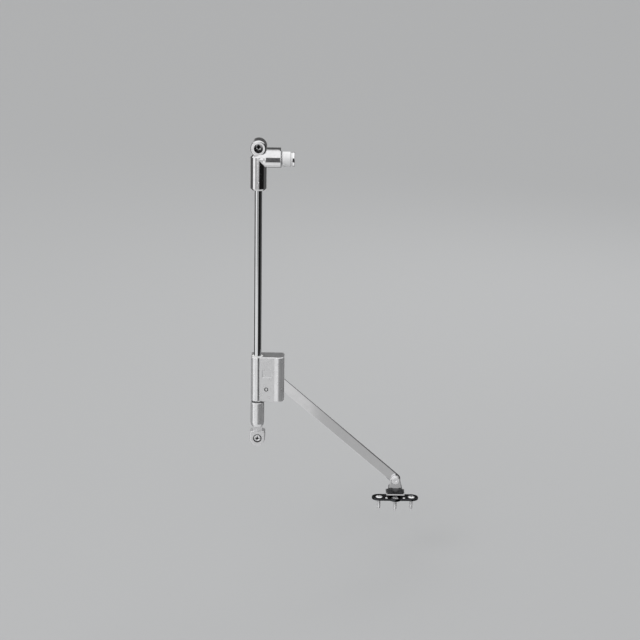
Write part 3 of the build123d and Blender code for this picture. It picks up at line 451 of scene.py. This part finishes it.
def near_axis(first, first_middle, second, second_middle, radius):
    """1 within a radius of an axis, from the two coordinates across it, all in millimetres."""
    across = first - first_middle * MM
    along = second - second_middle * MM
    reach = (across * across + along * along).root()
    return 1 - reach.step((radius - SOFT) * MM, (radius + SOFT) * MM)


def painted_pocket_shade(finish):
    """Painted shade in the two counterbores round the fixing screws' heads, behind the eyes' faces.
    """
    x, y, z = finish.axes()
    dark = 0.0
    for height, face in zip(FIXING_HEIGHTS, EYE_FACES):
        behind = (y * -1).inside(POCKET_FLOOR * MM, (face - SOFT) * MM, POCKET_SOFT * MM)
        dark = behind * near_axis(x, 0.0, z, height, POCKET_RADIUS) + dark
    return dark


def painted_recess_shade(finish):
    """Painted shade in the cross recesses and round the rim of the brake screw."""
    x, y, z = finish.axes()
    forward = y * -1
    deep = forward.inside(POCKET_FLOOR * MM, FIXING_FACE * MM, SOFT * MM)
    low = z.inside(PLATE_RECESS_FLOOR * MM, PLATE_FACE * MM, SOFT * MM)
    rim = near_axis(x, BRAKE_SCREW[0], z, BRAKE_SCREW[1], BRAKE_RIM[1])
    rim = rim - near_axis(x, BRAKE_SCREW[0], z, BRAKE_SCREW[1], BRAKE_RIM[0])
    dark = rim * forward.step(BRAKE_SCREW[2] * MM, (BRAKE_SCREW[2] + SOFT) * MM)
    for height in FIXING_HEIGHTS:
        dark = deep * near_axis(x, 0.0, z, height, FIXING_RECESS) + dark
    for middle, depth in PLATE_SCREWS:
        dark = low * near_axis(x, middle, y, -depth, PLATE_RECESS) + dark
    return dark


# The counterbores and driver recesses are places of painted shade.
print("dull places:", len(SLIDER_ENDS), "end faces,", len(FIXING_HEIGHTS), "counterbores and",
      len(FIXING_HEIGHTS) + len(PLATE_SCREWS), "driver recesses")

# %% [markdown]
# ## The metal finishes
#
# The upper bracket and the knuckle are bright nickel and mirror their surround. The slider and the
# lower bracket are satin, so they are rougher, and only part metallic, which keeps them pale from
# every side. The rod, the sheet parts, the screws and the plate on the flap have finishes of their
# own. One dictionary holds them all, under the names of the record's material slots.

# %% The metal finishes
ARM_SLOPE = math.radians(40.9)

finishes = {
    # Each casting's dark colour serves its dull skin and the shade painted on it.
    "bright_nickel": cast_metal("bright_nickel", (0.78, 0.78, 0.79), 0.08, 0.06,
                                0.04 * MM, 0.010 * MM, dull=bracket_label_and_painted_shade,
                                dull_and_shade_colour=(0.17, 0.17, 0.175), dull_roughness=0.38),
    "satin_nickel": cast_metal("satin_nickel", (0.82, 0.82, 0.83), 0.22, 0.06,
                               0.03 * MM, 0.008 * MM, metallic=0.60, dull=slider_dull_and_painted_shade,
                               dull_and_shade_colour=(0.27, 0.27, 0.275), dull_roughness=0.45),
    "polished_chrome": drawn_metal("polished_chrome", (0.76, 0.77, 0.78), 0.06, 0.0, 200, 6000,
                                   0.0006 * MM),
    "plated_steel": drawn_metal("plated_steel", (0.90, 0.90, 0.91), 0.05, ARM_SLOPE, 120, 3600,
                                0.0006 * MM),
    "screw_steel": plated_small("screw_steel", (0.93, 0.93, 0.94), 0.20, 0.08, 0.006 * MM, 0.55),
    "black_nickel": cast_metal("black_nickel", (0.055, 0.058, 0.062), 0.14, 0.08,
                               0.02 * MM, 0.006 * MM),
}
print("metal finishes:", sorted(finishes))

# %% [markdown]
# ## Plastics, rubber and the magnet
#
# Moulded parts have a spark-eroded skin: fine pits of one size with a slow change of gloss. Rubber
# and the sintered magnet are the same idea with coarser grain and less shine.

# %% Moulded and sintered parts
PITS = (3, 0.65)             # detail and roughness of the pits
PIT_GLOSS = 0.08
FLOW = (110, 2, 0.5)
FLOW_LEVELS = (0.3, 0.7)
FLOW_SHADE = 0.94


def moulded(name, colour, roughness, spread, grain_scale, depth, coat=0.0):
    finish = Finish(name, colour, roughness, coat=coat)
    grain = finish.noise(grain_scale, *PITS)
    flow = finish.noise(*FLOW).step(*FLOW_LEVELS)
    finish.set("Roughness", roughness + spread * flow + PIT_GLOSS * (grain - 0.5))
    finish.set("Base Color", finish.blend(flow, colour, shaded(colour, FLOW_SHADE)))
    finish.bump(grain, depth)
    return finish.material


finishes.update({
    "black_plastic": moulded("black_plastic", (0.022, 0.023, 0.025), 0.26, 0.08, 2200,
                             0.006 * MM, 0.25),
    "pale_plastic": moulded("pale_plastic", (0.88, 0.88, 0.885), 0.38, 0.08, 2200, 0.006 * MM),
    "bush_plastic": moulded("bush_plastic", (0.90, 0.90, 0.89), 0.40, 0.08, 2600, 0.008 * MM),
    "washer_plastic": moulded("washer_plastic", (0.07, 0.07, 0.072), 0.48, 0.08, 2600,
                              0.008 * MM),
    "buffer_rubber": moulded("buffer_rubber", (0.15, 0.15, 0.155), 0.62, 0.10, 1800,
                             0.015 * MM),
    "magnet": moulded("magnet", (0.05, 0.05, 0.052), 0.55, 0.12, 3000, 0.020 * MM),
})
print("all finishes:", sorted(finishes))

# %% [markdown]
# ## Every part gets its finish
#
# The record names a material slot for each part. The measured meshes stay as they are, so a finish
# goes into the slots of their own objects, and no part is missed or painted twice.

# %% Give every part its finish
for part in frame["record"]["subparts"]:
    mesh = nodes[part["node"]].data
    mesh.materials.clear()
    mesh.materials.append(finishes[part["material_slot"]])

# %% [markdown]
# ## Screw threads
#
# A real thread is a ridge wound round a thinner core, and the measured screws give only its
# outside. Each screw gets a finer twin: the same head and neck, cut off at the face that it is
# screwed to, with a wound thread beyond. A bump would leave the outline smooth, so a small
# diamond is wound up by a Screw modifier, joined to a pointed core, and trimmed by a pointed
# sleeve as wide as the measured thread.

# %% Mesh tools


def choose(*objects):
    """Select these objects alone, the first of them active."""
    bpy.context.view_layer.update()
    bpy.ops.object.select_all(action="DESELECT")
    for obj in objects:
        obj.select_set(True)
    bpy.context.view_layer.objects.active = objects[0]


def apply_modifier(obj, kind, **settings):
    choose(obj)
    modifier = obj.modifiers.new(kind.lower(), kind)
    for name, value in settings.items():
        setattr(modifier, name, value)
    bpy.ops.object.modifier_apply(modifier=modifier.name)


def combine(obj, tool, operation):
    """Join to obj, or trim it with, a closed tool that is then thrown away."""
    apply_modifier(obj, "BOOLEAN", operation=operation, object=tool, solver="EXACT")
    bpy.data.objects.remove(tool)


def settle(obj):
    """Bake place, turn and scale into the mesh."""
    choose(obj)
    bpy.ops.object.transform_apply(location=True, rotation=True, scale=True)


print("mesh tools are ready")

# %% Core and sleeve of a thread
ROUND = 32                   # sides of a round bar
END_FACE = 0.9               # a face whose normal points this far along Z is the bar's end



def pointed_bar(radius, start, straight_end, tip_end, tip_radius):
    """A round bar along Z with a tapered tip."""
    bpy.ops.mesh.primitive_cylinder_add(vertices=ROUND, radius=radius, depth=straight_end - start,
                                        location=(0, 0, (start + straight_end) / 2))
    bar = bpy.context.object
    settle(bar)
    bpy.ops.object.mode_set(mode="EDIT")
    bpy.ops.mesh.select_mode(type="FACE")
    bpy.ops.mesh.select_all(action="DESELECT")
    bpy.ops.object.mode_set(mode="OBJECT")
    for face in bar.data.polygons:
        face.select = face.normal.z > END_FACE
    bpy.ops.object.mode_set(mode="EDIT")
    bpy.ops.mesh.extrude_region_move(
        TRANSFORM_OT_translate={"value": (0, 0, tip_end - straight_end)})
    bpy.ops.transform.resize(value=(tip_radius / radius, tip_radius / radius, 1))
    bpy.ops.object.mode_set(mode="OBJECT")
    return bar


print("a round bar has", ROUND, "sides")

# %% Ridge of a thread
THREAD_STEPS = 25            # in one turn
DIAMOND = 4                  # corners of the ridge's section
QUARTER_TURN = math.radians(90)
FULL_TURN = math.radians(360)
RIDGE_SINK = 1.15            # half height of the diamond over the height of the ridge
RIDGE_WIDTH = 0.42           # half width of the diamond over the pitch


def wound_ridge(core_radius, outer_radius, pitch, start, end):
    """A diamond wound round the core, from start to end along Z."""
    height = (outer_radius - core_radius) * RIDGE_SINK
    bpy.ops.mesh.primitive_circle_add(
        vertices=DIAMOND, radius=1, fill_type="NOTHING",
        location=(outer_radius - height, 0, start), rotation=(QUARTER_TURN, 0, 0))
    ridge = bpy.context.object
    ridge.scale = (height, RIDGE_WIDTH * pitch, 1)
    settle(ridge)
    apply_modifier(ridge, "SCREW", axis="Z", angle=FULL_TURN, screw_offset=pitch,
                   iterations=math.ceil((end - start) / pitch), steps=THREAD_STEPS,
                   render_steps=THREAD_STEPS)
    bpy.ops.object.mode_set(mode="EDIT")
    bpy.ops.mesh.select_all(action="SELECT")
    bpy.ops.mesh.fill_holes(sides=DIAMOND)
    bpy.ops.mesh.normals_make_consistent(inside=False)
    bpy.ops.object.mode_set(mode="OBJECT")
    return ridge


print("a turn of thread has", THREAD_STEPS, "steps")

# %% Thread and head
OVERLAP = 0.05               # of the thread and the neck, in millimetres
LEAD_IN = 0.5                # core and ridge beyond the sleeve's flat end, in millimetres
CREST = 0.13                 # what the sleeve trims off the ridge, in millimetres
MERGE = 0.001 * MM           # points of a copied head closer than this are one


def thread(outer, core, pitch, reach, tip, tip_width):
    """A pointed thread along Z, its flat end at the origin, drawn in millimetres."""
    straight = reach - tip
    slim = core / outer
    bar = pointed_bar(core / 2, -LEAD_IN, straight, reach - OVERLAP, slim * tip_width / 2)
    ridge = wound_ridge(core / 2, outer / 2 + CREST, pitch, -LEAD_IN, reach)
    combine(bar, ridge, "UNION")
    combine(bar, pointed_bar(outer / 2, 0, straight, reach, tip_width / 2), "INTERSECT")
    return bar


def head_of(node, face, direction):
    """A merged copy of a screw, cut off square at the face."""
    head = nodes[node].copy()
    head.data = nodes[node].data.copy()
    bpy.context.scene.collection.objects.link(head)
    choose(head)
    bpy.ops.object.mode_set(mode="EDIT")
    bpy.ops.mesh.select_all(action="SELECT")
    bpy.ops.mesh.remove_doubles(threshold=MERGE)
    bpy.ops.mesh.select_all(action="SELECT")
    bpy.ops.mesh.bisect(plane_co=face - direction * (OVERLAP / 2 * MM), plane_no=direction,
                        use_fill=True, clear_outer=True)
    bpy.ops.object.mode_set(mode="OBJECT")
    return head


print("thread and neck overlap by", OVERLAP, "mm")

# %% [markdown]
# ## The five screws
#
# Two screws hold the brackets to the side panel and three hold the plate to the flap. Each twin is
# drawn in millimetres, because the cutting works best near that size, and then brought down to
# metres and turned into its hole. It takes its screw's place on the same body.

# %% The five screws
# In millimetres: across the thread, across its core, pitch, how far it stands out beyond the face,
# length of the taper and width of its end.
FIXING_THREAD = (4.0, 2.7, 1.5, 13.0, 3.0, 1.0)
PLATE_THREAD = (3.4, 2.3, 1.3, 12.0, 3.0, 1.0)
FLAP_FACE = -60.5
SMOOTH_ANGLE = math.radians(32)
INTO_PANEL = (0, 1, 0)
INTO_FLAP = (0, 0, -1)

screws = {side + "_fixing_screw": ((0, 0, height), INTO_PANEL, FIXING_THREAD)
          for side, height in zip(("lower", "upper"), FIXING_HEIGHTS)}
for side, (middle, depth) in zip(("left", "middle", "right"), PLATE_SCREWS):
    screws[side + "_plate_screw"] = ((middle, -depth, FLAP_FACE), INTO_FLAP, PLATE_THREAD)

for node, (place, direction, sizes) in screws.items():
    face = Vector(place) * MM
    direction = Vector(direction)
    shank = thread(*sizes)
    shank.location = face - direction * (OVERLAP * MM)
    shank.scale = (MM, MM, MM)
    shank.rotation_euler = direction.to_track_quat("Z", "Y").to_euler()
    settle(shank)
    screw = head_of(node, face, direction)
    choose(screw, shank)
    bpy.ops.object.join()
    screw.name = node.replace("_screw", "_threaded_screw")
    bpy.ops.object.shade_smooth_by_angle(angle=SMOOTH_ANGLE)
    screw.data.materials.clear()
    screw.data.materials.append(finishes["screw_steel"])
    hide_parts(node)
    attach(screw, body_of(nodes[node])[0])
    print(screw.name, "faces", len(screw.data.polygons),
          "size mm", [round(d / MM, 2) for d in screw.dimensions])

# %% [markdown]
# ## Floor, backdrop and light
#
# Bright metal shows whatever stands round it, so what it mirrors decides the look. A tall soft
# panel stands to the front left, a wide one hangs overhead, the floor sends up some light, and the
# right-hand side stays dark, which draws the dark lines along rods and edges. All of that is the
# surround as glossy surfaces see it. The camera sees a plain backdrop, and matt surfaces see an
# even light. Real panels would do the same, but would stand in the way of other views.

# %% Floor
FLOOR_HEIGHT = -0.126        # below the flap bracket in every pose
FLOOR_SIZE = 40.0
FLOOR_COLOUR = (0.43, 0.435, 0.44)
FLOOR_ROUGHNESS = 0.9

bpy.ops.mesh.primitive_plane_add(size=FLOOR_SIZE, location=(0, 0, FLOOR_HEIGHT))
floor = bpy.context.object
floor.name = "floor"
floor.data.materials.append(Finish("floor", FLOOR_COLOUR, FLOOR_ROUGHNESS).material)
floor.visible_glossy = False
print("floor at", FLOOR_HEIGHT)

# %% Levels and panels of the surround
BACKDROP = 0.52              # what the camera sees
LIGHT_ABOVE = 1.30           # what matt surfaces see from above and from below
LIGHT_BELOW = 0.36
LIGHT_RISE = (-0.2, 0.6)     # up's share where one gives way to the other
SHADY_SIDE = (15, 170, 30)   # turns of the dimmer half for matt surfaces, and how soft it is
SHADE = 0.50
DARK_ROOM = 0.10             # what metal mirrors where there is no panel
# Each row is one panel of the mirrored surround: its turn from the camera's side and its rise, in
# degrees from edge to edge, how soft its edges are, and how bright it is. Turns grow to the right.
# A later row stands in front of an earlier one.
PANELS = (((-82, -46), (-50, 36), 6.0, 1.10),
          ((-48, 0.7), (-60, 60), 0.4, 0.63),
          ((-48, 0.7), (-14.5, 60), 2.0, 0.42),
          ((-34, -10), (-60, -15), 3.0, 0.98),
          ((-24, 0.7), (-9.9, 60), 0.6, 1.10),
          ((0.7, 10), (-60, 60), 0.4, 0.42),
          ((12, 84), (-60, 60), 6.0, 0.01),
          ((158, 200), (-60, 2), 4.0, 0.10),
          ((-200, -158), (-20, 2), 4.0, 0.45),
          ((-400, 400), (35, 120), 10.0, 1.10),
          ((-110, 110), (-120, -43), 10.0, 0.86),
          ((-400, -110), (-120, -50), 8.0, 0.70),
          ((110, 400), (-120, -50), 8.0, 0.70))
print("surround panels:", len(PANELS))

# %% Surround
DEGREES = 180 / math.pi

world = bpy.data.worlds.new("surround")
world.use_nodes = True
world.cycles.sampling_method = "NONE"
bpy.context.scene.world = world
surround = Nodes(world.node_tree)
right, back, up = surround.axes()


def angle(operation, inputs):
    """An angle of the view's direction, in degrees."""
    node = surround.node("ShaderNodeMath", {"operation": operation}, inputs)
    return Field(surround, node.outputs[0]) * DEGREES


turn = angle("ARCTAN2", {0: right, 1: back * -1})
rise = angle("ARCSINE", {0: up})
mirrored = DARK_ROOM
for turns, rises, soft, brightness in PANELS:
    cover = turn.inside(*turns, soft) * rise.inside(*rises, soft)
    mirrored = mirrored + (brightness - mirrored) * cover
path = surround.node("ShaderNodeLightPath")
glossy = Field(surround, path.outputs["Is Glossy Ray"])
seen = Field(surround, path.outputs["Is Camera Ray"])
matt = LIGHT_BELOW + (LIGHT_ABOVE - LIGHT_BELOW) * up.step(*LIGHT_RISE)
matt = matt * (1 - SHADE * turn.inside(*SHADY_SIDE))
level = (1 - glossy - seen) * matt + glossy * mirrored + seen * BACKDROP
background = world.node_tree.nodes["Background"]
world.node_tree.links.new(level.socket, background.inputs["Strength"])
background.inputs["Color"].default_value = (1, 1, 1, 1)
print("surround's nodes:", len(world.node_tree.nodes))

# %% Lamps
MIDDLE = Vector((0.05, -0.01, 0.10))
LAMP_SIZE = 0.8


def lamp(name, place, power):
    """A soft lamp for the matt surfaces and the floor's shadow. The metal mirrors the surround."""
    data = bpy.data.lights.new(name, "AREA")
    data.shape = "RECTANGLE"
    data.size = LAMP_SIZE
    data.size_y = LAMP_SIZE
    data.energy = power
    obj = bpy.data.objects.new(name, data)
    obj.location = place
    obj.rotation_euler = (MIDDLE - Vector(place)).to_track_quat("-Z", "Y").to_euler()
    obj.visible_glossy = False
    bpy.context.scene.collection.objects.link(obj)


lamp("key", (-1.0, -1.1, 1.5), power=6)
lamp("back", (0.6, 1.2, 1.0), power=3)
